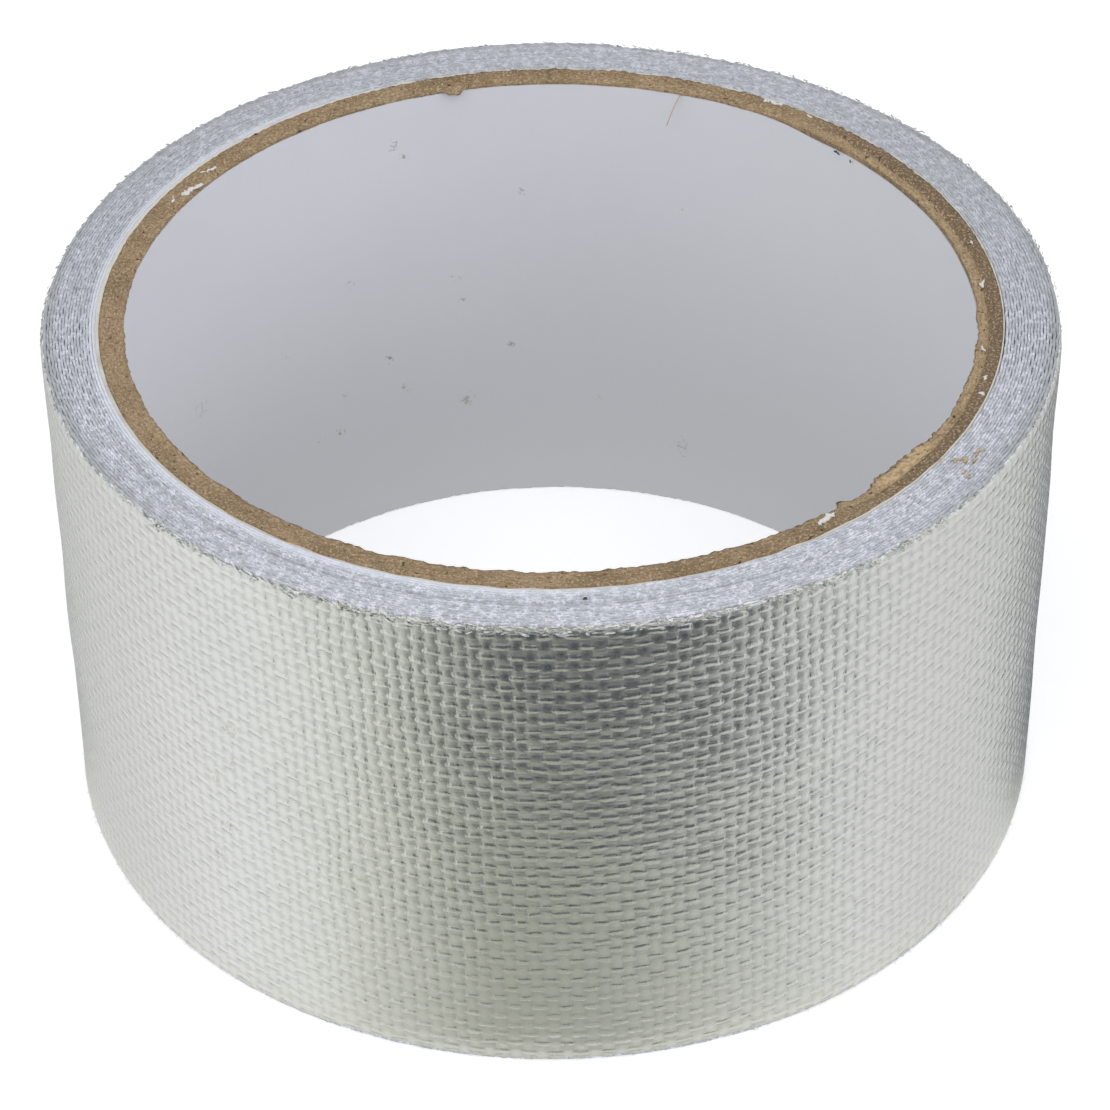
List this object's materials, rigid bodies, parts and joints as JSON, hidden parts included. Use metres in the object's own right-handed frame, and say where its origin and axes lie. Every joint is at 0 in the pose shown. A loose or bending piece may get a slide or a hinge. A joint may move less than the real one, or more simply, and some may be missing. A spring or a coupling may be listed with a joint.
{
  "type": "exhaust heat wrap roll",
  "caption": "Roll of adhesive foil-faced woven glass heat wrap wound on a short paperboard tube, standing on its end.",
  "frame": {"origin": "centre of the lower end, on the roll's axis, in the plane it stands on", "axes": "+Z along the roll's axis, upwards; -Y towards the camera of the picture, +X to its right"},
  "size_m": [0.0916, 0.0916, 0.05],
  "materials": {
    "kraft_board": "matt cut kraft board, fibrous and slightly ragged",
    "foil_face": "soft bright foil pressed into a plain glass-cloth weave",
    "cloth_edge": "cut edges of glass cloth, bluish white, fuzzy",
    "lining_paper": "smooth white paper with a few small stains"
  },
  "bodies": {
    "root": {"cardboard_core": "kraft_board", "wrap_roll": "foil_face"}
  },
  "joints": []
}
